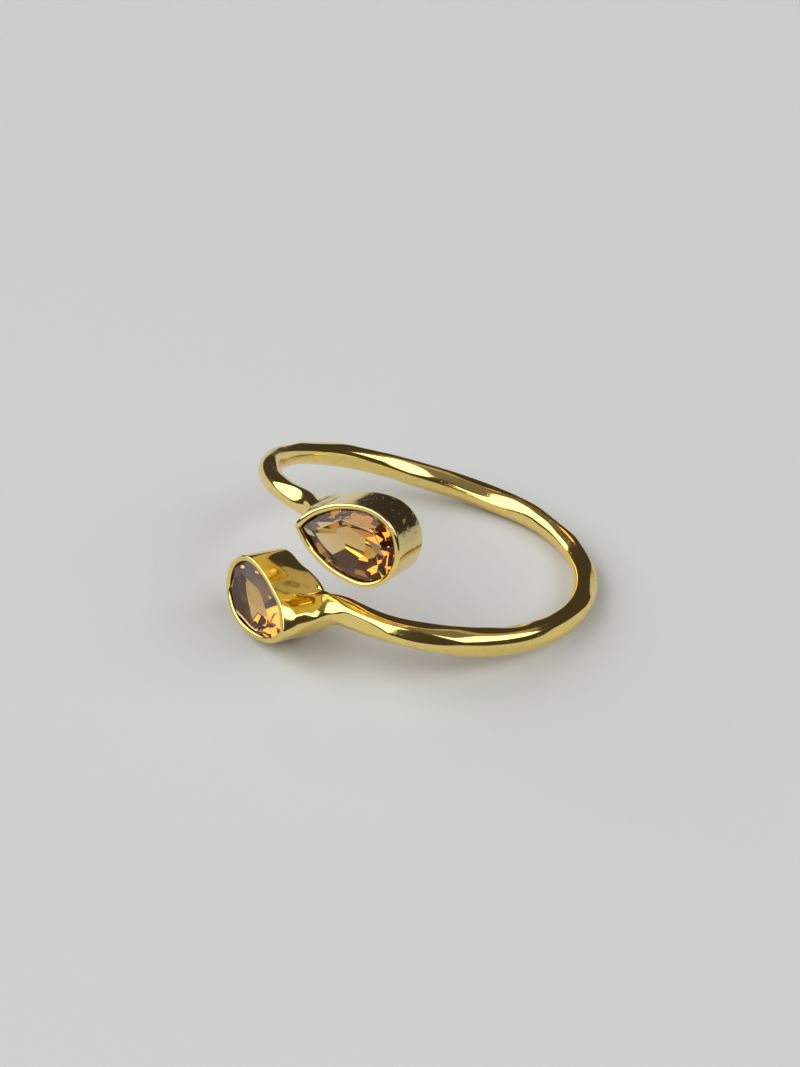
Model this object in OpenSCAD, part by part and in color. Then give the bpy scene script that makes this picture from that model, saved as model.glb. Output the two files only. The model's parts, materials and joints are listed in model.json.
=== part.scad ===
// Wrap ring: an open band of forged round wire whose two ends pass each other
// and each end in a pear-shaped bezel cup with a cut stone.
// Millimetres. The ring is drawn round its own axis (+Z) and then laid down as it rests.

/* [Stones] */
// Length of a pear stone at its girdle
stone_l = 6; // [5:0.5:7]
// Width of a pear stone at its girdle
stone_w = 4; // [3.5:0.5:4.5]
// Height of the crown, from the girdle to the table
crown_h = 0.5; // [0.3:0.05:0.55]
// Depth of the pavilion, from the girdle to the culet
pavilion_h = 1.75; // [1.2:0.05:1.9]
// Size of the table as a share of the girdle
table_share = 0.56; // [0.45:0.01:0.65]

/* [Bezel cups] */
// Depth of a cup, from its rim to its back
cup_depth = 3; // [2.8:0.1:3.4]
// How far the rim is turned over the edge of the stone
lip_cover = 0.12; // [0.08:0.01:0.16]
// Width of the rim as it shows round the stone
rim_w = 0.33; // [0.28:0.01:0.45]
// Radius of the cup's corner at the tip
tip_r = 0.35; // [0.2:0.05:0.6]
// Width of the ledge that carries the stone, measured in from the girdle
ledge_w = 0.45; // [0.3:0.05:0.6]

/* [Band] */
// Inside diameter of the ring
inside_d = 17.2; // [16.8:0.1:17.8]
// Thickness of the wire where its table says 1
wire_d = 1.5; // [1.3:0.05:1.7]

/* [Resting pose] */
// How far the ring's axis leans off the upright as the ring lies
lean = 9.3; // [0:0.1:15]
// Direction that the top of the axis leans away from, round from +X
lean_from = 59; // [0:1:359]

/* [Hidden] */
$fn = 96;

gold = [0.83, 0.66, 0.25];
citrine = [0.70, 0.43, 0.16];

// Free space all round a stone in its cup
gap = 0.04;
// Height of the girdle's own band
girdle_h = 0.1;
// How far the table lies below the rim
table_drop = 0.05;
// What a cut runs past the face that it opens
past = 1;

// Height of the girdle's upper edge in the cup, with the rim's face at 0
girdle_z = -(table_drop + crown_h);
// Underside of the turned-over lip: over the crown where the lip ends
crown_slope = crown_h / (stone_w * (1 - table_share) / 2);
lip_under = girdle_z + lip_cover * crown_slope + gap;
// Top of the ledge: under the pavilion where the ledge ends
pavilion_slope = pavilion_h / (stone_w / 2);
ledge_z = girdle_z - girdle_h - ledge_w * pavilion_slope - gap;

// Nominal radius of the wire's centre line
centre_r = inside_d / 2 + wire_d / 2;
// Distance of the cups' rims from the ring's axis, with their backs flush inside
face_r = inside_d / 2 + cup_depth;

// Where the cups stand: angle round the axis, shift along the band, height,
// turn of the pear's long axis, tilt of its face, and which way its tip points
CUP_ANGLE = 0;
CUP_SHIFT = 1;
CUP_RISE = 2;
CUP_TURN = 3;
CUP_TILT = 4;
CUP_TIP = 5;
upper_cup = [-113.2, 0.15, 4.85, -1.8, 2.9, -1];
lower_cup = [-141.0, 0.20, -1.05, -7.7, -0.8, 1];

// The forged wire, a row for each station: angle round the axis, its centre line's
// distance outside the nominal radius, its height, and its thickness as a share of wire_d
ANGLE = 0;
OUT = 1;
RISE = 2;
THICK = 3;
stations = [
    [-133, 0.20, -0.50, 1.18],
    [-124, 0.02, -0.22, 1.20],
    [-115, -0.03, -0.28, 1.06],
    [-98, -0.01, -0.50, 1.02],
    [-72, 0.01, -0.75, 1.09],
    [-50, 0.02, -0.80, 1.05],
    [-28, 0.02, -0.67, 0.94],
    [0, 0.01, -0.27, 0.96],
    [25, 0.02, 0.16, 0.92],
    [45, 0.02, 0.46, 0.95],
    [70, 0.02, 0.68, 1.06],
    [92, 0.04, 1.12, 1.06],
    [110, 0.06, 1.78, 0.97],
    [130, 0.11, 2.62, 0.98],
    [150, 0.17, 3.34, 0.95],
    [170, 0.18, 3.89, 0.91],
    [190, 0.11, 4.30, 0.87],
    [207, -0.05, 4.56, 0.85],
    [220, -0.17, 4.74, 0.92],
    [234, 0.30, 4.88, 1.05]
];
// Sides of the wire's section, and the angle between its rings
wire_sides = 14;
ring_step = 5;

// Smooth curve through the stations
last = len(stations) - 1;
function row_before(a, i = 0) = i >= last - 1 || stations[i + 1][ANGLE] > a ? i : row_before(a, i + 1);
function slope(i, c) =
    let(p = max(i - 1, 0), q = min(i + 1, last))
    (stations[q][c] - stations[p][c]) / (stations[q][ANGLE] - stations[p][ANGLE]);
function along(a, c) =
    let(
        i = row_before(a),
        span = stations[i + 1][ANGLE] - stations[i][ANGLE],
        t = (a - stations[i][ANGLE]) / span
    )
    (2 * pow(t, 3) - 3 * pow(t, 2) + 1) * stations[i][c]
    + (pow(t, 3) - 2 * pow(t, 2) + t) * span * slope(i, c)
    + (3 * pow(t, 2) - 2 * pow(t, 3)) * stations[i + 1][c]
    + (pow(t, 3) - pow(t, 2)) * span * slope(i + 1, c);

// The wire's centre line and the ring of points round it at an angle
function unit(v) = v / norm(v);
function centre(a) =
    let(r = centre_r + along(a, OUT))
    [r * cos(a), r * sin(a), along(a, RISE)];
function wire_ring(a) =
    let(
        ahead = unit(centre(a + 0.5) - centre(a - 0.5)),
        outward = unit(cross(ahead, [0, 0, 1])),
        upward = cross(outward, ahead),
        r = along(a, THICK) * wire_d / 2
    )
    [for (k = [0 : wire_sides - 1])
        let(b = 360 * k / wire_sides)
        centre(a) + r * (cos(b) * outward + sin(b) * upward)];

first_angle = stations[0][ANGLE];
turn = stations[last][ANGLE] - first_angle;
ring_count = ceil(turn / ring_step);
wire_rings = [for (j = [0 : ring_count]) wire_ring(first_angle + turn * j / ring_count)];
wire_points = [for (ring = wire_rings, p = ring) p];

// Pear outline, centred on its own box with the tip at +X: a round end and two side
// arcs that leave it at its widest. Grown outwards by a given width all round.
function side_r(l, w) = (pow(l - w / 2, 2) + pow(w / 2, 2)) / w;
function round_x(l, w) = (w - l) / 2;
// Distance from the round end's centre to the tip of the grown outline
function tip_reach(l, w, grow) =
    let(rs = side_r(l, w))
    sqrt(pow(rs + grow, 2) - pow(rs - w / 2, 2));

module pear(l, w, grow = 0, corner = 0) {
    rs = side_r(l, w) + grow;
    off_axis = rs - w / 2 - grow;
    reach = tip_reach(l, w, grow);
    // The corner's arc touches both sides; the sides end where it touches them
    corner_x = sqrt(pow(rs - corner, 2) - pow(off_axis, 2));
    sides_end = corner > 0 ? corner_x * rs / (rs - corner) : reach;
    translate([round_x(l, w), 0]) {
        circle(r = w / 2 + grow);
        intersection() {
            translate([0, off_axis]) circle(r = rs, $fn = 2 * $fn);
            translate([0, -off_axis]) circle(r = rs, $fn = 2 * $fn);
            translate([0, -w]) square([sides_end, 2 * w]);
        }
        if (corner > 0) translate([corner_x, 0]) circle(r = corner);
    }
}

// How far the culet lies from the round end's centre, towards the tip
culet_shift = 0.5;

// Points on the pear's girdle: the tip first, then round the outline
side_steps = 4;
round_steps = 8;
function side_point(l, w, k) =
    let(
        rs = side_r(l, w),
        tip_a = asin((rs - w / 2) / rs),
        a = tip_a + (90 - tip_a) * k / side_steps
    )
    [round_x(l, w) + rs * cos(a), rs * sin(a) - (rs - w / 2)];
function flip(p) = [p[0], -p[1]];
function girdle(l, w) = concat(
    [for (k = [0 : side_steps - 1]) side_point(l, w, k)],
    [for (k = [0 : round_steps])
        let(a = 90 + 180 * k / round_steps)
        [round_x(l, w) + w / 2 * cos(a), w / 2 * sin(a)]],
    [for (k = [side_steps - 1 : -1 : 1]) flip(side_point(l, w, k))]
);

// Outline of a cup for the resting height: the girdle's points moved out by the wall
outer_grow = rim_w - lip_cover;
function cup_outline() =
    let(share = 1 + 2 * outer_grow / stone_w)
    [for (p = girdle(stone_l, stone_w))
        [round_x(stone_l, stone_w) + (p[0] - round_x(stone_l, stone_w)) * share, p[1] * share]];

// Places something that is drawn with its rim at z = 0 and its tip at +X on its cup's spot
module on_cup(cup) {
    rotate([0, 0, cup[CUP_ANGLE]])
    translate([face_r, cup[CUP_SHIFT], cup[CUP_RISE]])
    rotate([0, -cup[CUP_TILT], 0])
    rotate([cup[CUP_TURN], 0, 0])
    rotate([0, 90, 0])
    rotate([0, 0, cup[CUP_TIP] > 0 ? 90 : -90])
    children();
}

// The same placing for a point, with the turns worked out one after another
function spin_x(p, a) = [p[0], p[1] * cos(a) - p[2] * sin(a), p[1] * sin(a) + p[2] * cos(a)];
function spin_y(p, a) = [p[0] * cos(a) + p[2] * sin(a), p[1], p[2] * cos(a) - p[0] * sin(a)];
function spin_z(p, a) = [p[0] * cos(a) - p[1] * sin(a), p[0] * sin(a) + p[1] * cos(a), p[2]];
function cup_point(cup, p) =
    let(
        upright = spin_y(spin_z(p, cup[CUP_TIP] > 0 ? 90 : -90), 90),
        turned = spin_y(spin_x(upright, cup[CUP_TURN]), -cup[CUP_TILT])
    )
    spin_z(turned + [face_r, cup[CUP_SHIFT], cup[CUP_RISE]], cup[CUP_ANGLE]);

// Resting pose: leaned over, lifted onto z = 0 and centred over the origin
lean_axis = [-sin(lean_from), cos(lean_from), 0];
function laid(p) =
    spin_z(spin_y(spin_z(p, -lean_from), lean), lean_from);
outer_points = concat(
    wire_points,
    [for (cup = [upper_cup, lower_cup], z = [0, -cup_depth], p = cup_outline())
        cup_point(cup, [p[0], p[1], z])]
);
laid_points = [for (p = outer_points) laid(p)];
function low(c) = min([for (p = laid_points) p[c]]);
function high(c) = max([for (p = laid_points) p[c]]);
seat = [-(low(0) + high(0)) / 2, -(low(1) + high(1)) / 2, -low(2)];

module as_it_rests() {
    translate(seat) rotate(a = lean, v = lean_axis) children();
}

// The wire: rings joined by triangles, closed by a fan at each end
module wire() {
    ends = [centre(first_angle), centre(first_angle + turn)];
    points = concat(wire_points, ends);
    n = wire_sides;
    start_hub = len(wire_points);
    faces = concat(
        [for (j = [0 : ring_count - 1], k = [0 : n - 1])
            [j * n + k, j * n + (k + 1) % n, (j + 1) * n + (k + 1) % n]],
        [for (j = [0 : ring_count - 1], k = [0 : n - 1])
            [j * n + k, (j + 1) * n + (k + 1) % n, (j + 1) * n + k]],
        [for (k = [0 : n - 1]) [start_hub, (k + 1) % n, k]],
        [for (k = [0 : n - 1]) [start_hub + 1, ring_count * n + k, ring_count * n + (k + 1) % n]]
    );
    polyhedron(points, faces);
}

// A bezel cup without its hollow
module cup_body() {
    translate([0, 0, -cup_depth])
    linear_extrude(cup_depth) pear(stone_l, stone_w, outer_grow, tip_r);
}

// The hollow of a cup: the opening in the rim, the stone's pocket, and the open back
module cup_hollow() {
    translate([0, 0, lip_under])
    linear_extrude(past - lip_under) pear(stone_l, stone_w, -lip_cover);
    translate([0, 0, ledge_z])
    linear_extrude(lip_under - ledge_z) pear(stone_l, stone_w, gap);
    translate([0, 0, -cup_depth - past])
    linear_extrude(cup_depth + past + ledge_z + gap) pear(stone_l, stone_w, -ledge_w);
}

// Band and both cups, soldered into one piece
module band_and_cups() {
    color(gold)
    as_it_rests()
    difference() {
        union() {
            wire();
            on_cup(upper_cup) cup_body();
            on_cup(lower_cup) cup_body();
        }
        on_cup(upper_cup) cup_hollow();
        on_cup(lower_cup) cup_hollow();
    }
}

// A cut pear stone: an eight-sided table, a crown of 24 facets, a girdle and 16 pavilion facets
module pear_stone() {
    edge = girdle(stone_l, stone_w);
    n = len(edge);
    hub = round_x(stone_l, stone_w) + culet_shift;
    function over(p, share, z) = [hub + (p[0] - hub) * share, p[1] * share, z];
    points = concat(
        [for (p = edge) over(p, 1, girdle_z)],
        [for (p = edge) over(p, 1, girdle_z - girdle_h)],
        [for (k = [0 : 2 : n - 1]) over(edge[k], table_share, -table_drop)],
        [[hub, 0, girdle_z - girdle_h - pavilion_h]]
    );
    lower = n;
    table = 2 * n;
    half = n / 2;
    culet = table + half;
    faces = concat(
        [[for (k = [half - 1 : -1 : 0]) table + k]],
        [for (k = [0 : half - 1]) [table + k, table + (k + 1) % half, 2 * k + 1]],
        [for (k = [0 : half - 1]) [table + k, 2 * k + 1, 2 * k]],
        [for (k = [0 : half - 1]) [table + k, 2 * k, (2 * k + n - 1) % n]],
        [for (k = [0 : n - 1]) [k, (k + 1) % n, lower + (k + 1) % n, lower + k]],
        [for (k = [0 : n - 1]) [lower + k, lower + (k + 1) % n, culet]]
    );
    polyhedron(points, faces);
}

module upper_stone() {
    color(citrine) as_it_rests() on_cup(upper_cup) pear_stone();
}

module lower_stone() {
    color(citrine) as_it_rests() on_cup(lower_cup) pear_stone();
}

band_and_cups();
upper_stone();
lower_stone();
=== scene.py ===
"""Looks of an open wrap ring of forged gold wire with two pear stones in bezel cups.

Each piece is shaped round the ring's own axis, in metres, and then laid down as the ring rests.
"""

import json
import logging
import math
from dataclasses import dataclass
from enum import Enum
from typing import Callable, NamedTuple

import bmesh
import bpy
from mathutils import Matrix, Vector


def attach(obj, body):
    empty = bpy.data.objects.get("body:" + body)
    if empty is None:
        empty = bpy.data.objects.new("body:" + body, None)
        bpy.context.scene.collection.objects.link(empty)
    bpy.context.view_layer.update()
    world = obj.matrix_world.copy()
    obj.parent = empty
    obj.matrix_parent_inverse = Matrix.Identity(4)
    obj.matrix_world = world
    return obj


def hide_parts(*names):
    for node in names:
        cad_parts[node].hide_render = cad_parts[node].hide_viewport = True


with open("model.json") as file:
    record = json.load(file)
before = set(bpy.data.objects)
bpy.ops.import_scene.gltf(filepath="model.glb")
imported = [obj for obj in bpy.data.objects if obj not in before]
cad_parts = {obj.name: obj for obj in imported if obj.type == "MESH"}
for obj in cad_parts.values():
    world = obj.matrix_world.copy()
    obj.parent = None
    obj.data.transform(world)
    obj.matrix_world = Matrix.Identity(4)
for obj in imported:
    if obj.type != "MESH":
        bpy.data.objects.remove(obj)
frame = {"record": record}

LOG = logging.getLogger("wrap_ring")
MM = 0.001
TINY = 1e-6
MERGE_BELOW = 10 * TINY
# How far up or down the normal of a level face points at least
LEVEL = 0.9

PlaceTest = Callable[[Vector, Vector], bool]
Pair = tuple[float, float]
Triple = tuple[float, float, float]
Rgb = Triple
Colour = Rgb | bpy.types.NodeSocket


class Part(Enum):
    """What is picked on a mesh in edit mode."""

    POINTS = ("VERT", "verts")
    FACES = ("FACE", "faces")


class Workpiece:
    """A mesh that is shaped in edit mode, with its parts picked by place."""

    def __init__(self, name: str) -> None:
        """Takes the primitive that was just added and goes into edit mode.

        Args:
            name: The piece's name.
        """
        self.object = bpy.context.object
        self.object.name = self.object.data.name = name
        bpy.ops.object.transform_apply(location=True, rotation=True, scale=True)
        bpy.ops.object.mode_set(mode="EDIT")

    def pick(self, part: Part, wanted: PlaceTest) -> int:
        """Selects the points or faces that pass a test, and nothing else.

        Args:
            part: What is picked.
            wanted: Test on the middle of each and on its normal.

        Returns:
            How many were picked.
        """
        mode, kind = part.value
        bpy.ops.mesh.select_mode(type=mode)
        bpy.ops.mesh.select_all(action="DESELECT")
        shape = bmesh.from_edit_mesh(self.object.data)
        count = 0
        for item in getattr(shape, kind):
            middle = item.co if part is Part.POINTS else item.calc_center_median()
            if wanted(middle, item.normal):
                item.select_set(True)
                count += 1
        shape.select_flush_mode()
        bmesh.update_edit_mesh(self.object.data)
        return count

    def finish(self, place: Matrix | None = None) -> bpy.types.Object:
        """Leaves edit mode and sets the piece in its place.

        Args:
            place: Where the shape goes, or None where it stays.

        Returns:
            The object, with its place in its mesh.
        """
        bpy.ops.object.mode_set(mode="OBJECT")
        if place is not None:
            self.object.matrix_world = place
            bpy.ops.object.transform_apply(location=True, rotation=True, scale=True)
        return self.object


def choose_only(*objects: bpy.types.Object) -> None:
    """Selects some objects and nothing else.

    Args:
        objects: The objects, the first of which becomes the active one.
    """
    bpy.ops.object.select_all(action="DESELECT")
    for item in objects:
        item.select_set(True)
    bpy.context.view_layer.objects.active = objects[0]


def turn_about_axis(degrees: float) -> None:
    """Turns what is selected round the ring's axis; with no window the sign is the other way.

    Args:
        degrees: Angle, anticlockwise from above.
    """
    bpy.ops.transform.rotate(value=-math.radians(degrees), orient_axis="Z", center_override=(0, 0, 0))


def face_outwards() -> None:
    """Turns all the faces of the mesh in edit mode outwards."""
    bpy.ops.mesh.select_all(action="SELECT")
    bpy.ops.mesh.normals_make_consistent(inside=False)


def drag(move: Vector, reach: float) -> None:
    """Moves what is selected, and what joins it by less.

    Args:
        move: Way and distance, in metres.
        reach: How far along the mesh the move is felt.
    """
    bpy.ops.transform.translate(
        value=move, use_proportional_edit=True, proportional_edit_falloff="SMOOTH",
        proportional_size=reach, use_proportional_connected=True,
    )


def flatten(normal: Vector, point: Vector) -> None:
    """Presses what is selected flat onto a plane.

    Args:
        normal: The plane's normal.
        point: A point on the plane.
    """
    across = normal.orthogonal().normalized()
    axes = Matrix((across, normal.cross(across), normal)).transposed()
    bpy.ops.transform.resize(
        value=(1, 1, 0), orient_type="GLOBAL", orient_matrix=axes, orient_matrix_type="GLOBAL",
        center_override=point,
    )


@dataclass(frozen=True)
class RingFrame:
    """Where the ring's own axis lies once the ring is laid down."""

    mount_height: float = 1.9 * MM

    def laid(self) -> Matrix:
        """Works out where the ring rests from the record's mount, which is its finger opening.

        Returns:
            The move that takes the upright ring there.
        """
        mount = frame["record"]["mounts"][0]
        axis = Vector(mount["axis"]).normalized()
        origin = Vector(mount["pos_m"]) - axis * self.mount_height
        return Matrix.Translation(origin) @ Vector((0, 0, 1)).rotation_difference(axis).to_matrix().to_4x4()


@dataclass(frozen=True)
class Pear:
    """Outline of a pear stone: a round end and two side arcs, with the tip at +X."""

    length: float = 6 * MM
    width: float = 4 * MM

    @property
    def round_r(self) -> float:
        """Radius of the round end."""
        return self.width / 2

    @property
    def side_r(self) -> float:
        """Radius of the two side arcs."""
        return ((self.length - self.round_r) ** 2 + self.round_r**2) / self.width

    @property
    def round_x(self) -> float:
        """Place of the round end's centre, and of the widest point."""
        return (self.width - self.length) / 2

    @property
    def side_off(self) -> float:
        """How far the side arcs' centres lie from the long axis."""
        return self.side_r - self.round_r

    def touch(self, degrees: float) -> Vector:
        """Finds where a line with a given normal touches the outline.

        Args:
            degrees: Direction of the normal, round from the tip.

        Returns:
            The point on the outline, at height 0.
        """
        angle = math.radians(degrees)
        side = math.copysign(1, math.sin(angle))
        if abs(degrees) >= 90:
            return Vector((self.round_x + self.round_r * math.cos(angle), self.round_r * math.sin(angle), 0))
        if abs(math.sin(angle)) * self.side_r > self.side_off:
            off = self.side_r * math.sin(angle) - side * self.side_off
            return Vector((self.round_x + self.side_r * math.cos(angle), off, 0))
        return Vector((self.length / 2, 0, 0))

    def outside(self, at: Vector) -> float:
        """Measures how far a point lies outside the outline.

        Args:
            at: The point, whose height doesn't count.

        Returns:
            The distance, below 0 inside.
        """
        if at.x < self.round_x:
            return math.hypot(at.x - self.round_x, at.y) - self.round_r
        return math.hypot(at.x - self.round_x, abs(at.y) + self.side_off) - self.side_r

    def draw(
        self, name: str, grow: float, round_steps: int, side_steps: int, tip_r: float, tip_steps: int
    ) -> Workpiece:
        """Draws the outline as a face at height 0.

        Args:
            name: Name of the piece that it is the start of.
            grow: How far the outline lies outside the stone's girdle.
            round_steps: Segments of a whole circle at the round end.
            side_steps: Segments of each side arc.
            tip_r: Radius that rounds the tip.
            tip_steps: Segments of each half of that rounding.

        Returns:
            The piece, in edit mode, with its face selected.
        """
        radius = self.round_r + grow
        bpy.ops.mesh.primitive_circle_add(vertices=round_steps, radius=radius, location=(self.round_x, 0, 0))
        work = Workpiece(name)
        work.pick(Part.POINTS, lambda at, _: at.x > self.round_x + TINY)
        bpy.ops.mesh.delete(type="VERT")
        side_r = self.side_r + grow
        tip_x = math.sqrt((side_r - tip_r) ** 2 - self.side_off**2)
        rest = math.atan2(self.side_off, tip_x)
        for side in (1, -1):
            start = Vector((self.round_x, side * radius, 0))
            work.pick(Part.POINTS, lambda at, _: (at - start).length < TINY)
            for steps, angle, centre in (
                (side_steps, math.pi / 2 - rest, (self.round_x, -side * self.side_off, 0)),
                (tip_steps, rest, (self.round_x + tip_x, 0, 0)),
            ):
                bpy.ops.mesh.spin(steps=steps, angle=side * angle, center=centre, axis=(0, 0, 1))
        bpy.ops.mesh.select_all(action="SELECT")
        bpy.ops.mesh.remove_doubles(threshold=MERGE_BELOW)
        bpy.ops.mesh.edge_face_add()
        return work


def rise(height: float) -> None:
    """Extrudes what is selected straight up or down.

    Args:
        height: How far, in metres.
    """
    bpy.ops.mesh.extrude_region_move(TRANSFORM_OT_translate={"value": (0, 0, height)})


@dataclass(frozen=True)
class CupPlace:
    """Where a cup stands on the ring, in degrees and metres."""

    angle: float
    shift: float
    height: float
    turn: float
    tilt: float
    tip: int

    def matrix(self, face_r: float) -> Matrix:
        """Works out the cup's place on the upright ring.

        Args:
            face_r: Distance of the cup's rim from the ring's axis.

        Returns:
            The move that takes a cup with its rim at height 0 and its tip at +X there.
        """
        return (
            Matrix.Rotation(math.radians(self.angle), 4, "Z")
            @ Matrix.Translation((face_r, self.shift, self.height))
            @ Matrix.Rotation(math.radians(-self.tilt), 4, "Y")
            @ Matrix.Rotation(math.radians(self.turn), 4, "X")
            @ Matrix.Rotation(math.radians(90), 4, "Y")
            @ Matrix.Rotation(math.radians(90 * self.tip), 4, "Z")
        )


class Push(NamedTuple):
    """A soft push on the metal: where it is given, which way and how far it reaches, in metres."""

    at: Vector
    move: Vector
    reach: float

    def give(self, work: Workpiece, home: Matrix) -> None:
        """Pushes the points at the place, and those near them by less.

        Args:
            work: The mesh, in edit mode.
            home: The move from the place's own frame to the mesh.
        """
        spot = home @ self.at
        nearest = min((point.co - spot).length for point in bmesh.from_edit_mesh(work.object.data).verts)
        work.pick(Part.POINTS, lambda at, _: (at - spot).length < nearest + TINY)
        drag(home.to_3x3() @ self.move, self.reach)


def pushes(*rows: tuple[Triple, Triple, float]) -> tuple[Push, ...]:
    """Makes pushes from rows of millimetres.

    Args:
        rows: Where each is given, which way, and how far it reaches.

    Returns:
        The pushes.
    """
    return tuple(Push(Vector(at) * MM, Vector(move) * MM, reach * MM) for at, move, reach in rows)


class NeckSpot(NamedTuple):
    """The stretch of a cup's wall that the wire grows out of, in the cup's own frame.

    The joint is filed smooth within a reach of one place, after the pushes that fill it with solder.
    """

    low_y: float
    high_y: float
    low_z: float
    high_z: float
    rows: int
    filed_at: Vector
    filed_reach: float
    solder: tuple[Push, ...]


@dataclass
class BezelCup:
    """A pear-shaped bezel cup with a burnished rim and an open back.

    Heights are measured from the rim's plane, and a growth is how far an outline lies outside the girdle.
    """

    name: str
    place: CupPlace
    neck: NeckSpot
    pear: Pear = Pear()
    depth: float = 3 * MM
    face_r: float = 11.6 * MM
    wall: float = 0.225 * MM
    lip_under: float = -0.125 * MM
    ledge_z: float = -1.08 * MM
    pocket_grow: float = 0.04 * MM
    ledge_w: float = 0.45 * MM
    tip_r: float = 0.35 * MM
    wall_from: float = -2.72 * MM
    # The rounding at the back, from the wall to the flat: each step's width and drop, in millimetres
    back_edge: tuple[Pair, ...] = ((0.02, 0.12), (0.07, 0.1), (0.1, 0.06), (0.05, 0.0))
    tip_fold: Vector = Vector((-0.19, 0.0, 0.12)) * MM
    tip_fold_reach: float = 1.5 * MM
    dents: tuple[Push, ...] = ()
    # Middle and reach of the scuffed patch on the outside, which also gets a painted dark reflection
    scuffed_dark_reflection: Vector | None = None
    scuffed_dark_reflection_reach: float = 2.7 * MM
    round_steps: int = 40
    side_steps: int = 11
    tip_steps: int = 1
    # The rim from outside to inside: each step's width and rise, in millimetres
    rim: tuple[Pair, ...] = (
        (0.0, 0.06), (0.05, 0.05), (0.09, 0.02), (0.1, -0.01), (0.07, -0.05), (0.03, -0.06),
    )
    # Edge loops below the rim, under it inside, and at the back
    rim_start: float = -0.13 * MM
    rim_band: float = 0.1 * MM
    collar_z: float = -0.4 * MM
    seat_h: float = 0.3 * MM
    ledge_h: float = 0.1 * MM
    back_gap: float = 0.1 * MM
    back_lip: float = 0.06 * MM
    # Half the length and width of a spot in the middle, where only the hollow's end lies
    core: Pair = (0.6 * MM, 0.2 * MM)
    # For tests by place: length of the tip, play, and how far out a normal in the hollow points at most
    tip_zone: float = 0.05 * MM
    slack: float = 0.04 * MM
    facing_out: float = 0.3

    def wall_levels(self) -> list[float]:
        """Lists the heights of the wall's edge loops above the lowest one.

        Returns:
            The heights, from the neck's hole up to the rim.
        """
        low, high, rows = self.neck.low_z, self.neck.high_z, self.neck.rows
        levels = [low + (high - low) * row / rows for row in range(rows + 1)]
        return [*levels, (high + self.collar_z) / 2, self.rim_start - self.rim_band, self.rim_start]

    def _scale_to(self, grow_from: float, grow_to: float) -> None:
        """Widens or narrows the selected outline from one growth to another.

        Args:
            grow_from: Growth of the outline now.
            grow_to: Growth that it gets.
        """
        (tail_a, tip_a), (tail_b, tip_b) = self.ends(grow_from), self.ends(grow_to)
        across = (self.pear.round_r + grow_to) / (self.pear.round_r + grow_from)
        along = (tip_b - tail_b) / (tip_a - tail_a)
        middle = (tip_a + tail_a) / 2
        bpy.ops.transform.resize(value=(along, across, 1), center_override=(middle, 0, 0))
        bpy.ops.transform.translate(value=((tip_b + tail_b) / 2 - middle, 0, 0))

    def ends(self, grow: float) -> tuple[float, float]:
        """Finds the two ends of the grown outline.

        Args:
            grow: How far the outline lies outside the girdle.

        Returns:
            The places along X of its round end and of its tip.
        """
        reach = math.sqrt((self.pear.side_r + grow) ** 2 - self.pear.side_off**2)
        return self.pear.round_x - self.pear.round_r - grow, self.pear.round_x + reach

    def build(self) -> bpy.types.Object:
        """Shapes the cup and leaves a hole in its wall where the wire joins it.

        Returns:
            The cup, on the upright ring.
        """
        work = self.pear.draw(
            self.name, self.wall, self.round_steps, self.side_steps, self.tip_r, self.tip_steps
        )
        bpy.ops.transform.translate(value=(0, 0, self.wall_from))
        level = self.wall_from
        for height in self.wall_levels():
            rise(height - level)
            level = height
        rim_width = 0.0
        for width, step in self.rim:
            bpy.ops.mesh.inset(thickness=width * MM, depth=0)
            bpy.ops.transform.translate(value=(0, 0, step * MM))
            rim_width += width * MM
            level += step * MM
        lip_grow = self.wall - rim_width
        rise(self.lip_under - level)
        level = self.lip_under
        rise(0)
        self._scale_to(lip_grow, self.pocket_grow)
        for height in (level - self.seat_h, self.ledge_z):
            rise(height - level)
            level = height
        rise(0)
        self._scale_to(self.pocket_grow, -self.ledge_w)
        for height in (level - self.ledge_h, -self.depth / 2, -self.depth + self.back_gap):
            rise(height - level)
            level = height
        self._open_back(work)
        self._hide_hollow(work)
        self._fold_tip(work)
        for dent in self.dents:
            dent.give(work, Matrix())
        bpy.ops.mesh.reveal(select=False)
        self._open_neck(work)
        face_outwards()
        return work.finish(self.place.matrix(self.face_r))

    def dull_and_shaded_share(self, at: Vector, facing: Vector) -> float:
        """Tells how dull the metal is at a place and how much painted shade it gets, from 0 where polished to
        1 in the hollow.

        Args:
            at: A point in the cup's own frame.
            facing: The metal's normal there.

        Returns:
            How dull it is.
        """
        wall_at = self.pocket_grow if at.z > self.ledge_z - self.slack else -self.ledge_w
        in_hollow = (
            self.pear.outside(at) < wall_at + self.slack
            and -self.depth - self.wall < at.z < self.lip_under + TINY
        )
        outwards = facing.dot(Vector((at.x, at.y, 0)).normalized())
        return 1.0 if in_hollow and outwards < self.facing_out else 0.0

    def scuff_dark_reflection(self, at: Vector, facing: Vector) -> float:
        """Tells how scuffed the outside is at a place and how much painted dark reflection it gets, from 0
        where smooth to 1.

        Args:
            at: A point in the cup's own frame.
            facing: The metal's normal there.

        Returns:
            How scuffed and how darkened it is.
        """
        inside = facing.dot(Vector((at.x, at.y, 0))) < 0
        if self.scuffed_dark_reflection is None or inside or not -self.depth - self.wall < at.z < 0:
            return 0.0
        return max(0.0, 1 - (at - self.scuffed_dark_reflection).length / self.scuffed_dark_reflection_reach)

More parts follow.
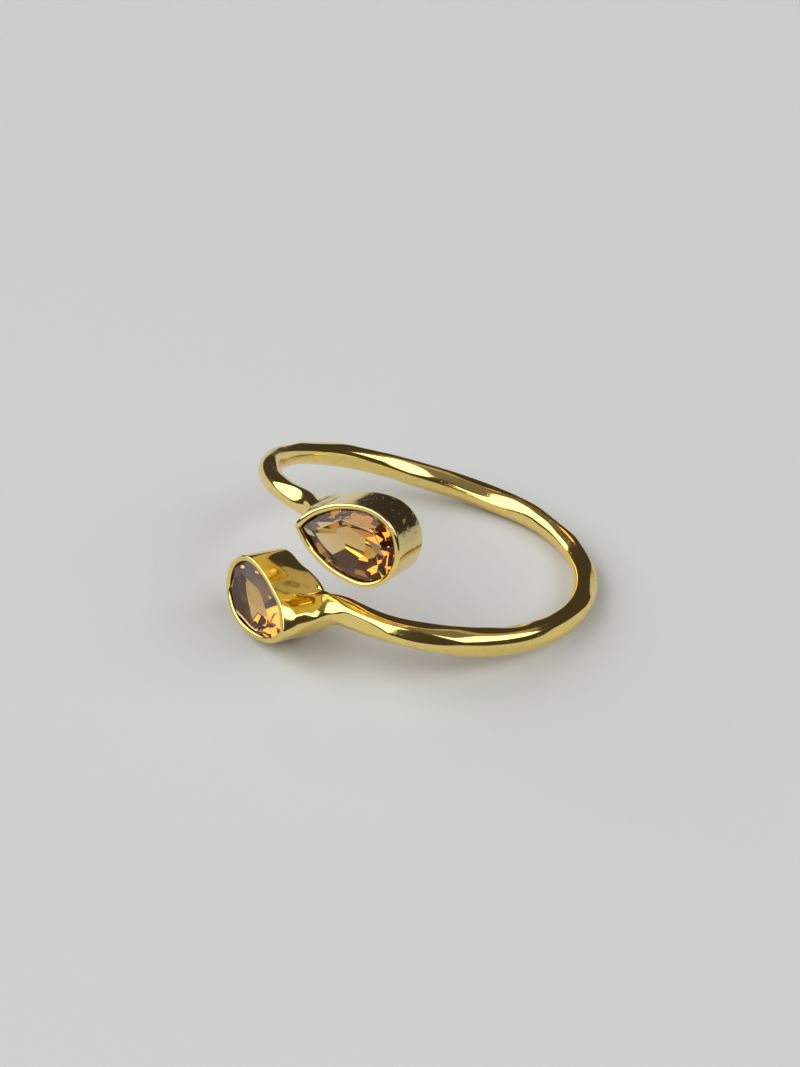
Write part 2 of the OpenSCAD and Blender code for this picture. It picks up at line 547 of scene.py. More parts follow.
    def _open_back(self, work: Workpiece) -> None:
        """Rounds the cup's back and joins the hollow to an opening in it.

        Args:
            work: The cup, in edit mode.
        """
        work.pick(Part.FACES, lambda at, up: abs(at.z - self.wall_from) < TINY and abs(up.z) > LEVEL)
        grow = self.wall
        for width, drop in self.back_edge:
            bpy.ops.mesh.inset(thickness=width * MM, depth=0)
            bpy.ops.transform.translate(value=(0, 0, -drop * MM))
            grow -= width * MM
        bpy.ops.mesh.extrude_region_move()
        self._scale_to(grow, -self.ledge_w + self.back_lip)
        hollow_end = -self.depth + self.back_gap
        core_x, core_y = self.core
        work.pick(
            Part.FACES,
            lambda at, up: abs(up.z) > LEVEL and abs(at.y) < core_y and abs(at.x) < core_x
            and at.z < hollow_end + TINY,
        )
        bpy.ops.mesh.bridge_edge_loops()

    def _hide_hollow(self, work: Workpiece) -> None:
        """Hides the hollow, so that a fold or a dent of the rim leaves it as it is.

        Args:
            work: The cup, in edit mode.
        """
        work.pick(
            Part.POINTS,
            lambda at, _: self.pear.outside(at) < self.wall / 2
            and at.z < self.lip_under + (TINY if self.pear.outside(at) > 0 else -TINY),
        )
        bpy.ops.mesh.hide()

    def _fold_tip(self, work: Workpiece) -> None:
        """Folds the rim further over the stone at the tip, where the metal bunches up.

        Args:
            work: The cup, in edit mode.
        """
        lip = self.wall - sum(width for width, _ in self.rim) * MM
        work.pick(
            Part.POINTS,
            lambda at, _: at.z > self.lip_under - TINY and self.pear.outside(at) < lip + self.slack / 2
            and at.x > self.ends(lip)[1] - self.tip_zone,
        )
        drag(self.tip_fold, self.tip_fold_reach)

    def _open_neck(self, work: Workpiece) -> None:
        """Cuts the hole that the wire grows out of.

        Args:
            work: The cup, in edit mode.
        """
        spot = self.neck
        work.pick(
            Part.FACES,
            lambda at, _: spot.low_z < at.z < spot.high_z
            and spot.low_y < at.y < spot.high_y
            and at.x > 0 and self.pear.outside(at) > self.wall / 2,
        )
        bpy.ops.mesh.delete(type="FACE")


class Station(NamedTuple):
    """One row of the wire's table: degrees, millimetres, and a share of the wire's thickness."""

    angle: float
    out: float
    height: float
    thick: float


# Numbers of the columns that are read between the rows
OUT, HEIGHT, THICK = 1, 2, 3


class HammerMark(NamedTuple):
    """A flat that the hammer left: its place and length round the ring, and which way it faces.

    A facing of 0 is outwards, 90 up and 180 inwards. The depth is in millimetres.
    """

    angle: float
    facing: float
    length: float
    depth: float


@dataclass
class ForgedWire:
    """The band: one round wire that climbs once round the finger, with soft hammer marks."""

    stations: tuple[Station, ...]
    marks: tuple[HammerMark, ...]
    first: float
    last: float
    wire_d: float = 1.5 * MM
    centre_r: float = 9.35 * MM
    ring_step: float = 3.05
    look_ahead: float = 0.5
    ring_slack: float = 0.05 * MM
    sides: int = 24

    def _slope(self, row: int, column: int) -> float:
        """Works out how fast a column changes at a station.

        Args:
            row: Number of the station.
            column: Number of the column.

        Returns:
            The change per degree.
        """
        before, after = max(row - 1, 0), min(row + 1, len(self.stations) - 1)
        low, high = self.stations[before], self.stations[after]
        return (high[column] - low[column]) / (high.angle - low.angle)

    def along(self, angle: float, column: int) -> float:
        """Reads a column of the table between its rows, as a smooth curve.

        Args:
            angle: Angle round the ring, in degrees.
            column: Number of the column.

        Returns:
            The value there.
        """
        row = 0
        while row < len(self.stations) - 2 and self.stations[row + 1].angle <= angle:
            row += 1
        here, there = self.stations[row], self.stations[row + 1]
        span = there.angle - here.angle
        t = (angle - here.angle) / span
        return (
            (2 * t**3 - 3 * t**2 + 1) * here[column]
            + (t**3 - 2 * t**2 + t) * span * self._slope(row, column)
            + (3 * t**2 - 2 * t**3) * there[column]
            + (t**3 - t**2) * span * self._slope(row + 1, column)
        )

    def centre(self, angle: float) -> Vector:
        """Finds the wire's centre at an angle round the ring.

        Args:
            angle: Angle in degrees.

        Returns:
            The place, on the upright ring.
        """
        radius = self.centre_r + self.along(angle, OUT) * MM
        turn = math.radians(angle)
        return Vector((radius * math.cos(turn), radius * math.sin(turn), self.along(angle, HEIGHT) * MM))

    def section(self, angle: float) -> tuple[float, float]:
        """Finds the size of the upright section, taller where the wire climbs.

        Args:
            angle: Angle in degrees.

        Returns:
            Its half width and its half height.
        """
        # Subdivision draws a polygon in by a third of its sagitta
        drawn_in = 1 - (1 - math.cos(2 * math.pi / self.sides)) / 3
        half = self.along(angle, THICK) * self.wire_d / 2 / drawn_in
        ahead = self.centre(angle + self.look_ahead) - self.centre(angle - self.look_ahead)
        return half, half * ahead.length / math.hypot(ahead.x, ahead.y)

    def build(self) -> bpy.types.Object:
        """Draws the wire out ring by ring and hammers it.

        Returns:
            The wire with open ends, on the upright ring.
        """
        count = round((self.last - self.first) / self.ring_step)
        angles = [self.first + (self.last - self.first) * step / count for step in range(count + 1)]
        wide, tall = self.section(self.first)
        start = self.centre(self.first)
        upright = (math.pi / 2, 0, math.radians(self.first))
        bpy.ops.mesh.primitive_circle_add(vertices=self.sides, radius=wide, location=start, rotation=upright)
        work = Workpiece("wire")
        bpy.ops.transform.resize(value=(1, 1, tall / wide), center_override=start)
        for before, angle in zip(angles, angles[1:]):
            bpy.ops.mesh.extrude_region_move()
            turn_about_axis(angle - before)
            turned = Matrix.Rotation(math.radians(angle - before), 3, "Z") @ self.centre(before)
            bpy.ops.transform.translate(value=self.centre(angle) - turned)
            new_wide, new_tall = self.section(angle)
            bpy.ops.transform.resize(
                value=(new_wide / wide, new_wide / wide, new_tall / tall), center_override=self.centre(angle)
            )
            wide, tall = new_wide, new_tall
        for angle in angles[1:]:
            self._hammer(work, angle)
        face_outwards()
        return work.finish()

    def _hammer(self, work: Workpiece, angle: float) -> None:
        """Presses the flats that cross one ring of the wire.

        Args:
            work: The wire, in edit mode.
            angle: The ring's angle.
        """
        middle = self.centre(angle)
        turn = math.radians(angle)
        outward = Vector((math.cos(turn), math.sin(turn), 0))
        ahead = Vector((-outward.y, outward.x, 0))
        wide, _ = self.section(angle)
        for mark in self.marks:
            share = abs(angle - mark.angle) / (mark.length / 2)
            if share >= 1:
                continue
            facing = math.radians(mark.facing)
            normal = outward * math.cos(facing) + Vector((0, 0, math.sin(facing)))
            reach = wide - mark.depth * MM * (1 - share**2)
            picked = work.pick(
                Part.POINTS,
                lambda at, _: abs((at - middle).dot(ahead)) < self.ring_slack
                and (at - middle).length < 2 * wide
                and (at - middle).dot(normal) > reach,
            )
            if picked:
                flatten(normal, middle + normal * reach)


@dataclass
class BandAndCups:
    """The ring's metal: the wire and both cups, soldered into one piece."""

    wire: ForgedWire
    cups: tuple[BezelCup, ...]
    laid: Matrix
    neck_cuts: int = 3
    neck_reach: float = 3.5 * MM
    filing: int = 10
    filing_share: float = 0.5
    subdivisions: int = 2

    def build(self) -> bpy.types.Object:
        """Makes wire and cups, grows the necks between them, and smooths the whole.

        Returns:
            The finished piece, laid down as it rests.
        """
        metal = self.wire.build()
        for cup, end in zip(self.cups, (self.wire.first, self.wire.last)):
            setting = cup.build()
            choose_only(metal, setting)
            bpy.ops.object.join()
            self._grow_neck(metal, self.wire.centre(end))
            self._fill_joint(metal, cup)
        metal.name = metal.data.name = "forged_band_and_cups"
        smooth = metal.modifiers.new("smooth", "SUBSURF")
        smooth.levels = smooth.render_levels = self.subdivisions
        bpy.ops.object.modifier_apply(modifier=smooth.name)
        self._mark_wear(metal)
        metal.matrix_world = self.laid
        bpy.ops.object.transform_apply(location=True, rotation=True, scale=True)
        bpy.ops.object.shade_smooth()
        return metal

    def _fill_joint(self, metal: bpy.types.Object, cup: BezelCup) -> None:
        """Fills the joint of a cup with solder and files it smooth.

        Args:
            metal: The joined mesh.
            cup: The cup.
        """
        choose_only(metal)
        work = Workpiece(metal.name)
        home = cup.place.matrix(cup.face_r)
        for push in cup.neck.solder:
            push.give(work, home)
        to_cup = home.inverted()
        work.pick(
            Part.POINTS,
            lambda at, facing: (to_cup @ at - cup.neck.filed_at).length < cup.neck.filed_reach
            and not cup.dull_and_shaded_share(to_cup @ at, to_cup.to_3x3() @ facing),
        )
        bpy.ops.mesh.vertices_smooth(factor=self.filing_share, repeat=self.filing)
        work.finish()

    def _mark_wear(self, metal: bpy.types.Object) -> None:
        """Writes the attributes that say how dull the metal is and where it gets painted shade, and how
        scuffed it is and where it gets a painted dark reflection, at each point.

        Args:
            metal: The joined mesh, on the upright ring.
        """
        homes = [(cup, cup.place.matrix(cup.face_r).inverted()) for cup in self.cups]
        for name, measure in (("dull_and_shaded", BezelCup.dull_and_shaded_share), ("scuffed_dark_reflection", BezelCup.scuff_dark_reflection)):
            layer = metal.data.attributes.new(name, "FLOAT", "POINT")
            for point, entry in zip(metal.data.vertices, layer.data):
                entry.value = max(
                    measure(cup, home @ point.co, home.to_3x3() @ point.normal) for cup, home in homes
                )

    def _grow_neck(self, metal: bpy.types.Object, end: Vector) -> None:
        """Bridges the hole in a cup's wall to the wire's nearest end.

        Args:
            metal: The joined mesh of wire and cups.
            end: The middle of that end.
        """
        bpy.ops.object.mode_set(mode="EDIT")
        bpy.ops.mesh.select_mode(type="EDGE")
        bpy.ops.mesh.select_all(action="DESELECT")
        shape = bmesh.from_edit_mesh(metal.data)
        for edge in shape.edges:
            middle = (edge.verts[0].co + edge.verts[1].co) / 2
            edge.select_set(edge.is_boundary and (middle - end).length < self.neck_reach)
        shape.select_flush_mode()
        bmesh.update_edit_mesh(metal.data)
        bpy.ops.mesh.bridge_edge_loops(number_cuts=self.neck_cuts, interpolation="SURFACE", smoothness=1.0)
        face_outwards()
        bpy.ops.object.mode_set(mode="OBJECT")


@dataclass
class PearStone:
    """A cut pear stone: a table, star, main and break facets, a girdle and a pavilion."""

    name: str
    cup: BezelCup
    laid: Matrix
    table_z: float = 0.23 * MM
    girdle_z: float = -0.27 * MM
    girdle_h: float = 0.1 * MM
    pavilion_h: float = 2.1 * MM
    culet_x: float = -0.5 * MM
    tip_r: float = 0.46 * MM
    blank_spare: float = 0.2 * MM
    round_steps: int = 64
    side_steps: int = 20
    tip_steps: int = 2
    mains: tuple[float, ...] = (0, 52, 92, 136, 180, -136, -92, -52)
    break_shares: Pair = (0.26, 0.74)
    star_share: float = 0.5
    lower_mains: tuple[float, ...] = (30, 75, 120, 165, -165, -120, -75, -30)
    lower_shares: Pair = (0.0, 0.5)
    main_slope: float = 30
    break_slope: float = 37
    star_slope: float = 17
    star_inset: float = 0.55 * MM
    lower_steeper: float = 8
    lower_flatter: float = 12

    def _between(self, mains: tuple[float, ...], *shares: float) -> list[float]:
        """Works out directions that lie between each two neighbouring main facets.

        Args:
            mains: Directions of the main facets.
            shares: Where the others lie, as shares of the way from one main facet to the next.

        Returns:
            The directions, in degrees.
        """
        ring = sorted(mains) + [min(mains) + 360]
        found = [low + (high - low) * share for low, high in zip(ring, ring[1:]) for share in shares]
        return [(angle + 180) % 360 - 180 for angle in found]

    def _cut(self, direction: float, slope: float, through: Vector, side: int) -> None:
        """Cuts one facet.

        Args:
            direction: Way that it faces round the stone, in degrees.
            slope: Its slope off the flat, in degrees.
            through: A point on it.
            side: 1 for the crown and -1 for the pavilion.
        """
        round_a, slope_a = math.radians(direction), math.radians(slope)
        level = math.sin(slope_a)
        normal = (math.cos(round_a) * level, math.sin(round_a) * level, side * math.cos(slope_a))
        bpy.ops.mesh.select_all(action="SELECT")
        bpy.ops.mesh.bisect(
            plane_co=through, plane_no=normal, use_fill=True, clear_outer=True, threshold=TINY
        )

    def build(self) -> bpy.types.Object:
        """Cuts the stone from a pear-shaped blank.

        Returns:
            The stone in its cup, laid down as it rests.
        """
        pear = self.cup.pear
        work = pear.draw(self.name, 0, self.round_steps, self.side_steps, self.tip_r, self.tip_steps)
        girdle_low = self.girdle_z - self.girdle_h
        culet = Vector((self.culet_x, 0, girdle_low - self.pavilion_h))
        bpy.ops.transform.translate(value=(0, 0, culet.z - self.blank_spare))
        rise(self.table_z - culet.z + self.blank_spare)
        for slope, directions in (
            (self.main_slope, self.mains),
            (self.break_slope, self._between(self.mains, *self.break_shares)),
        ):
            for direction in directions:
                self._cut(direction, slope, pear.touch(direction) + Vector((0, 0, self.girdle_z)), 1)
        for direction in self._between(self.mains, self.star_share):
            round_a = math.radians(direction)
            inwards = Vector((-math.cos(round_a), -math.sin(round_a), 0)) * self.star_inset
            edge = pear.touch(direction) + inwards + Vector((0, 0, self.table_z))
            self._cut(direction, self.star_slope, edge, 1)
        tiers = ((self.lower_shares, self.lower_steeper, False), ((0.0,), -self.lower_flatter, True))
        for shares, steeper, at_culet in tiers:
            for direction in self._between(self.lower_mains, *shares):
                edge = pear.touch(direction) + Vector((0, 0, girdle_low))
                round_a = math.radians(direction)
                out = Vector((math.cos(round_a), math.sin(round_a), 0)).dot(edge - culet)
                slope = math.degrees(math.atan2(self.pavilion_h, out)) + steeper
                self._cut(direction, slope, culet if at_culet else edge, -1)
        face_outwards()
        return work.finish(self.laid @ self.cup.place.matrix(self.cup.face_r))


class Signal:
    """A number on a shader socket; arithmetic on it adds Math nodes."""

    def __init__(self, bench: "ShaderBench", socket: bpy.types.NodeSocket) -> None:
        """Wraps a socket.

        Args:
            bench: The shader that it belongs to.
            socket: The socket that gives the number.
        """
        self.bench = bench
        self.socket = socket

    def _with(self, operation: str, *values: "Signal | float") -> "Signal":
        """Adds a Math node.

        Args:
            operation: What it does.
            values: Its inputs.

        Returns:
            Its result.
        """
        made = self.bench.node("ShaderNodeMath", {"operation": operation}, dict(enumerate(values)))
        return Signal(self.bench, made.outputs[0])

    def __add__(self, other: "Signal | float") -> "Signal":
        """Adds."""
        return self._with("ADD", self, other)

    def __sub__(self, other: "Signal | float") -> "Signal":
        """Takes away."""
        return self._with("SUBTRACT", self, other)

    def __rsub__(self, other: float) -> "Signal":
        """Is taken away from a number."""
        return self._with("SUBTRACT", other, self)

    def __mul__(self, other: "Signal | float") -> "Signal":
        """Multiplies."""
        return self._with("MULTIPLY", self, other)

    __radd__ = __add__
    __rmul__ = __mul__

    def ramp(self, low: float, high: float) -> "Signal":
        """Goes smoothly from 0 to 1 between two values.

        Args:
            low: Value that gives 0.
            high: Value that gives 1.

        Returns:
            The new number.
        """
        made = self.bench.node(
            "ShaderNodeMapRange",
            {"interpolation_type": "SMOOTHSTEP"},
            {"Value": self, "From Min": low, "From Max": high},
        )
        return Signal(self.bench, made.outputs["Result"])


class ShaderBench:
    """The node tree of one material, with one way to add any node."""

    # Numbers of the colour sockets of a Mix node, which shares its names with other sockets
    MIX_INPUTS = (0, 6, 7)
    MIX_OUTPUT = 2

    def __init__(self, name: str) -> None:
        """Starts a material.

        Args:
            name: Its name.
        """
        self.material = bpy.data.materials.new(name)
        self.material.use_nodes = True
        self.tree = self.material.node_tree
        self.tree.nodes.clear()

    @classmethod
    def on(cls, tree: bpy.types.NodeTree) -> "ShaderBench":
        """Clears a node tree that exists, such as the world's, and works on that.

        Args:
            tree: The tree.

        Returns:
            The bench.
        """
        bench = cls.__new__(cls)
        bench.tree = tree
        tree.nodes.clear()
        return bench

    def node(
        self,
        kind: str,
        settings: dict[str, object] | None = None,
        inputs: dict[str | int, object] | None = None,
    ) -> bpy.types.Node:
        """Adds a node.

        Args:
            kind: The node's type.
            settings: Its settings, which are set first.
            inputs: Values or links of its sockets, by name or number.

        Returns:
            The node.
        """
        made = self.tree.nodes.new(kind)
        for key, value in (settings or {}).items():
            setattr(made, key, value)
        for key, value in (inputs or {}).items():
            if isinstance(value, Signal):
                value = value.socket
            if isinstance(value, bpy.types.NodeSocket):
                self.tree.links.new(value, made.inputs[key])
            else:
                made.inputs[key].default_value = value
        return made

    def place(self) -> bpy.types.NodeSocket:
        """Returns the piece's own coordinates, in metres."""
        return self.node("ShaderNodeTexCoord").outputs["Object"]

    def marked(self, name: str) -> Signal:
        """Reads an attribute of the piece's points.

        Args:
            name: The attribute's name.

        Returns:
            Its value.
        """
        return Signal(self, self.node("ShaderNodeAttribute", {"attribute_name": name}).outputs["Fac"])

    def noise(self, grain: float, detail: float, stretch: Triple = (1, 1, 1)) -> Signal:
        """Adds noise of a given size.

        Args:
            grain: Size of its blobs, in metres.
            detail: How much finer noise it holds.
            stretch: Scale of the coordinates along each axis.

        Returns:
            The noise, about 0.5 in the middle.
        """
        mapped = self.node("ShaderNodeMapping", None, {"Vector": self.place(), "Scale": stretch})
        made = self.node(
            "ShaderNodeTexNoise", None, {"Vector": mapped.outputs[0], "Scale": 1 / grain, "Detail": detail}
        )
        return Signal(self, made.outputs["Fac"])

    def blend(self, share: Signal, first: Colour, second: Colour) -> bpy.types.NodeSocket:
        """Mixes two colours.

        Args:
            share: How much of the second shows.
            first: A colour or a link to one.
            second: Another.

        Returns:
            The mixed colour.
        """
        ends = (
            colour if isinstance(colour, bpy.types.NodeSocket) else (*colour, 1) for colour in (first, second)
        )
        inputs = dict(zip(self.MIX_INPUTS, (share, *ends)))
        return self.node("ShaderNodeMix", {"data_type": "RGBA"}, inputs).outputs[self.MIX_OUTPUT]

    def bump(self, height: Signal, distance: float) -> bpy.types.NodeSocket:
        """Turns a height into a normal.

        Args:
            height: The height, about 0 to 1.
            distance: What a height of 1 is in metres.

        Returns:
            The normal.
        """
        return self.node("ShaderNodeBump", None, {"Height": height, "Distance": distance}).outputs[0]

    def output(self, surface: bpy.types.Node, volume: bpy.types.Node | None = None) -> bpy.types.Material:
        """Ends the tree.

        Args:
            surface: The node whose shader shows.
            volume: The shader of the inside, or None.

        Returns:
            The material.
        """
        end = self.node("ShaderNodeOutputMaterial", None, {"Surface": surface.outputs[0]})
        if volume is not None:
            self.tree.links.new(volume.outputs[0], end.inputs["Volume"])
        return self.material


class Wear(NamedTuple):
    """One kind of wear on the gold, drawn by noise.

    Its grain is in metres. It shows where the noise lies in its band, and it adds some roughness there.
    """

    grain: float
    detail: float
    band: Pair
    rough: float = 0.0
    stretch: Triple = (1, 1, 1)

    def pattern(self, bench: ShaderBench) -> Signal:
        """Draws where it shows.

        Args:
            bench: The material's shader.

        Returns:
            How much of it shows, from 0 to 1.
        """
        return bench.noise(self.grain, self.detail, self.stretch).ramp(*self.band)


@dataclass(frozen=True)
class GoldFinish:
    """Polished yellow gold plate with fine scratches, small pits and nicks, with painted shade in the cups'
    hollows and a painted dark reflection on a scuffed patch.
    """

    bright: Rgb = (0.95, 0.74, 0.25)
    deep: Rgb = (0.86, 0.58, 0.15)
    deep_share: float = 0.5
    # Near-black base colour in the cups' hollows, which is painted shade under the stones
    painted_hollow_shade: Rgb = (0.1, 0.055, 0.02)
    # Grey-brown base colour mixed into the scuffed patch of the upper cup's outer wall, which is a painted
    # dark reflection
    painted_dark_reflection: Rgb = (0.42, 0.36, 0.26)
    painted_dark_reflection_share: float = 0.6
    painted_dark_reflection_band: Pair = (0.0, 0.6)
    roughness: float = 0.09
    dull_rough: float = 0.4
    relief: float = 0.008 * MM
    ripple: float = 0.9 * MM
    ripple_high: float = 0.5
    scratch: Wear = Wear(0.035 * MM, 3, (0.62, 0.75), 0.1, (1, 0.08, 1))
    scratch_deep: float = 0.06
    rub: Wear = Wear(0.4 * MM, 4, (0.45, 0.75), 0.05)
    pit_grain: float = 0.55 * MM
    pit_band: Pair = (0.05, 0.11)
    pit_rough: float = 0.15
    pit_deep: float = 0.45
    nick: Wear = Wear(0.22 * MM, 4, (0.57, 0.63), 0.35, (1, 0.35, 1))
    cluster: Wear = Wear(0.9 * MM, 2, (0.42, 0.6))
    scuff_band: Pair = (0.0, 0.5)

    def material(self) -> bpy.types.Material:
        """Builds the material from the wear and from the metal's two attributes, which also place its painted
        shade and its painted dark reflection.

        Returns:
            The material.
        """
        bench = ShaderBench("polished_gold_plate")
        ripple = bench.noise(self.ripple, 1)
        scratches = self.scratch.pattern(bench)
        rubbed = self.rub.pattern(bench)
        cells = {"Vector": bench.place(), "Scale": 1 / self.pit_grain}
        spots = bench.node("ShaderNodeTexVoronoi", None, cells).outputs["Distance"]
        pits = 1 - Signal(bench, spots).ramp(*self.pit_band)
        # Masks of the dull hollows, which get painted shade, and of the scuffed patch, which gets a painted
        # dark reflection
        dull_and_shaded, scuffed_dark_reflection = bench.marked("dull_and_shaded"), bench.marked("scuffed_dark_reflection")
        clusters = self.cluster.pattern(bench)
        nicks = self.nick.pattern(bench) * scuffed_dark_reflection.ramp(*self.scuff_band) * clusters
        rough = (
            rubbed * self.rub.rough + scratches * self.scratch.rough + pits * self.pit_rough
            + nicks * self.nick.rough + dull_and_shaded * self.dull_rough + self.roughness
        )
        height = ripple * self.ripple_high - scratches * self.scratch_deep - pits * self.pit_deep - nicks
        colour = bench.blend(rubbed * self.deep_share + pits * self.deep_share, self.bright, self.deep)
        # Painted dark reflection: the scuffed patch goes grey-brown
        colour = bench.blend(scuffed_dark_reflection.ramp(*self.painted_dark_reflection_band) * self.painted_dark_reflection_share, colour, self.painted_dark_reflection)
        gold = bench.node(
            "ShaderNodeBsdfPrincipled",
            None,
            {
                # Painted shade: the hollows go near-black
                "Base Color": bench.blend(dull_and_shaded, colour, self.painted_hollow_shade),
                "Metallic": 1.0,
                "Roughness": rough,
                "Normal": bench.bump(height, self.relief),
            },
        )
        return bench.output(gold)


@dataclass(frozen=True)
class CitrineFinish:
    """Clear honey-brown citrine, polished, whose colour deepens with the light's way through it."""

    tint: Rgb = (1.0, 1.0, 0.75)
    deepening: Rgb = (0.98, 0.72, 0.25)
    per_metre: float = 600
    bend: float = 1.5
    haze: float = 0.04
    haze_tint: Rgb = (0.4, 0.13, 0.03)

    def material(self) -> bpy.types.Material:
        """Builds the material, a clear body with a little haze in it.

        Returns:
            The material.
        """
        bench = ShaderBench("honey_citrine")
        polish = {"Roughness": 0.0, "IOR": self.bend}
        clear, haze = (
            bench.node("ShaderNodeBsdfPrincipled", None, {"Base Color": (*tint, 1), **polish, **more})
            for tint, more in ((self.tint, {"Transmission Weight": 1.0}), (self.haze_tint, {}))
        )
        hazy = bench.node(
            "ShaderNodeMixShader", None, {0: self.haze, 1: clear.outputs[0], 2: haze.outputs[0]}
        )
        depth = bench.node(
            "ShaderNodeVolumeAbsorption", None, {"Color": (*self.deepening, 1), "Density": self.per_metre}
        )
        return bench.output(hazy, depth)


@dataclass(frozen=True)
class Softbox:
    """A flat light that faces the ring, placed as seen from the camera's side."""

    name: str
    azimuth: float
    elevation: float
    wide: float
    tall: float
    glow: float
    colour: Rgb
    distance: float = 2.5

    def hang(self, camera_azimuth: float) -> None:
        """Hangs the light.

        Args:
            camera_azimuth: Azimuth of the camera, which the light's own is measured from.
        """
        side = toward(self.azimuth + camera_azimuth, self.elevation)
        facing = side.to_track_quat("Z", "Y").to_euler()
        bpy.ops.object.light_add(type="AREA", location=side * self.distance, rotation=facing)
        lamp = bpy.context.object
        lamp.name = lamp.data.name = self.name
        lamp.visible_camera = False
        width, height = (
            2 * self.distance * math.tan(math.radians(span) / 2) for span in (self.wide, self.tall)
        )
        lamp.data.shape = "RECTANGLE"
        lamp.data.size, lamp.data.size_y = width, height
        lamp.data.energy = self.glow * math.pi * width * height
        lamp.data.color = self.colour


def toward(azimuth: float, elevation: float) -> Vector:
    """Finds a direction from the ring.

    Args:
        azimuth: 0 is towards -Y and 90 towards +X, in degrees.
        elevation: Degrees above the horizon.

    Returns:
        A vector of length 1.
    """
    round_a, up = math.radians(azimuth), math.radians(elevation)
    return Vector((math.sin(round_a) * math.cos(up), -math.cos(round_a) * math.cos(up), math.sin(up)))


@dataclass
class Studio:
    """Plain pale floor, soft lights and the camera."""

    camera_azimuth: float = 2.55
    camera_elevation: float = 31.05
    camera_roll: float = 2.66
    camera_distance: float = 131.75 * MM
    aim: Triple = (-1.105 * MM, 1.1 * MM, 2.855 * MM)
    lens: float = 77.09
    sensor: float = 36
    clip: Pair = (0.005, 20)
    room_dark: Rgb = (0.055, 0.046, 0.042)
    room_light: Rgb = (0.2, 0.19, 0.18)
    light_side: Pair = (0, 88)
    light_band: Pair = (0.5, 1.0)
    backdrop: Rgb = (0.55, 0.55, 0.56)
    floor: Rgb = (0.655, 0.652, 0.675)
    floor_rough: float = 0.8
    floor_shine: float = 0.2
    floor_size: float = 6
    softboxes: tuple[Softbox, ...] = (
        Softbox("left_window", -75, 39, 106, 48, 2.3, (0.95, 1.0, 0.97)),
        Softbox("right_window", 64, 46, 62, 32, 2.4, (0.95, 1.0, 0.97)),
        Softbox("warm_wall", 140, 52, 36, 24, 0.3, (1.0, 0.8, 0.45)),
        Softbox("warm_lamp_left", -158, 44, 9, 12, 3.0, (1.0, 0.42, 0.16)),
        Softbox("warm_lamp_right", 174, 47, 7, 7, 2.6, (1.0, 0.45, 0.2)),
    )

    def build(self) -> None:
        """Sets up floor, lights, surroundings and camera."""
        for softbox in self.softboxes:
            softbox.hang(self.camera_azimuth)
        self._surround()
        self._lay_floor()
        self._set_camera()

    def _surround(self) -> None:
        """Makes the room light overhead and dark behind in reflections, and plain pale to the camera."""
        world = bpy.data.worlds.new("studio")
        bpy.context.scene.world = world
        world.use_nodes = True
        bench = ShaderBench.on(world.node_tree)
        azimuth, elevation = self.light_side
        way = bench.node("ShaderNodeTexCoord").outputs["Generated"]
        facing = bench.node(
            "ShaderNodeVectorMath", {"operation": "DOT_PRODUCT"},
            {0: way, 1: toward(azimuth + self.camera_azimuth, elevation)},
        )
        share = Signal(bench, facing.outputs["Value"]).ramp(*self.light_band)
        glow = bench.blend(share, self.room_dark, self.room_light)
        room = bench.node("ShaderNodeBackground", None, {"Color": glow})
        plain = bench.node("ShaderNodeBackground", None, {"Color": (*self.backdrop, 1)})
        seen = bench.node("ShaderNodeLightPath").outputs["Is Camera Ray"]
        mix = bench.node("ShaderNodeMixShader", None, {0: seen, 1: room.outputs[0], 2: plain.outputs[0]})
        bench.node("ShaderNodeOutputWorld", None, {"Surface": mix.outputs[0]})

    def _lay_floor(self) -> None:
        """Lays the floor that the ring rests on."""
        bpy.ops.mesh.primitive_plane_add(size=self.floor_size)
        floor = bpy.context.object
        floor.name = "floor"
        bench = ShaderBench("pale_floor")
        surface = bench.node(
            "ShaderNodeBsdfPrincipled",
            None,
            {
                "Base Color": (*self.floor, 1),
                "Roughness": self.floor_rough,
                "Specular IOR Level": self.floor_shine,
            },
        )
        floor.data.materials.append(bench.output(surface))

    def _set_camera(self) -> None:
        """Puts the camera at the photograph's viewing angle."""
        back = toward(self.camera_azimuth, self.camera_elevation)
        level = (-back).to_track_quat("-Z", "Y")
        turned = level @ Matrix.Rotation(math.radians(self.camera_roll), 3, "Z").to_quaternion()
        spot = Vector(self.aim) + back * self.camera_distance
        bpy.ops.object.camera_add(location=spot, rotation=turned.to_euler())
        camera = bpy.context.object
        camera.data.lens = self.lens
        camera.data.sensor_width = self.sensor
        camera.data.clip_start, camera.data.clip_end = self.clip
        bpy.context.scene.camera = camera
        bpy.context.scene.view_settings.view_transform = "Standard"


UPPER_PLACE = CupPlace(angle=-113.2, shift=0.15 * MM, height=4.85 * MM, turn=-1.8, tilt=2.9, tip=-1)
LOWER_PLACE = CupPlace(angle=-141.0, shift=0.20 * MM, height=-1.05 * MM, turn=-7.7, tilt=-0.8, tip=1)

STATIONS = (
    Station(-133, -0.26, -0.70, 1.18),
    Station(-124, -0.44, -0.42, 1.20),
    Station(-115, -0.43, -0.46, 1.08),
    Station(-98, -0.15, -0.56, 1.03),
    Station(-72, 0.01, -0.75, 1.09),
    Station(-50, 0.02, -0.80, 1.05),
    Station(-28, 0.02, -0.67, 0.94),
    Station(0, 0.01, -0.27, 0.96),
    Station(25, 0.02, 0.16, 0.92),
    Station(45, 0.02, 0.46, 0.95),
    Station(70, 0.02, 0.68, 1.06),
    Station(92, 0.04, 1.12, 1.06),
    Station(110, 0.06, 1.78, 0.97),
    Station(130, 0.11, 2.62, 0.98),
    Station(150, 0.17, 3.34, 0.95),
    Station(170, 0.18, 3.89, 0.91),
    Station(190, 0.11, 4.30, 0.87),
    Station(207, -0.05, 4.56, 0.85),
    Station(220, -0.17, 4.74, 0.92),
    Station(234, 0.30, 4.88, 1.05),
)

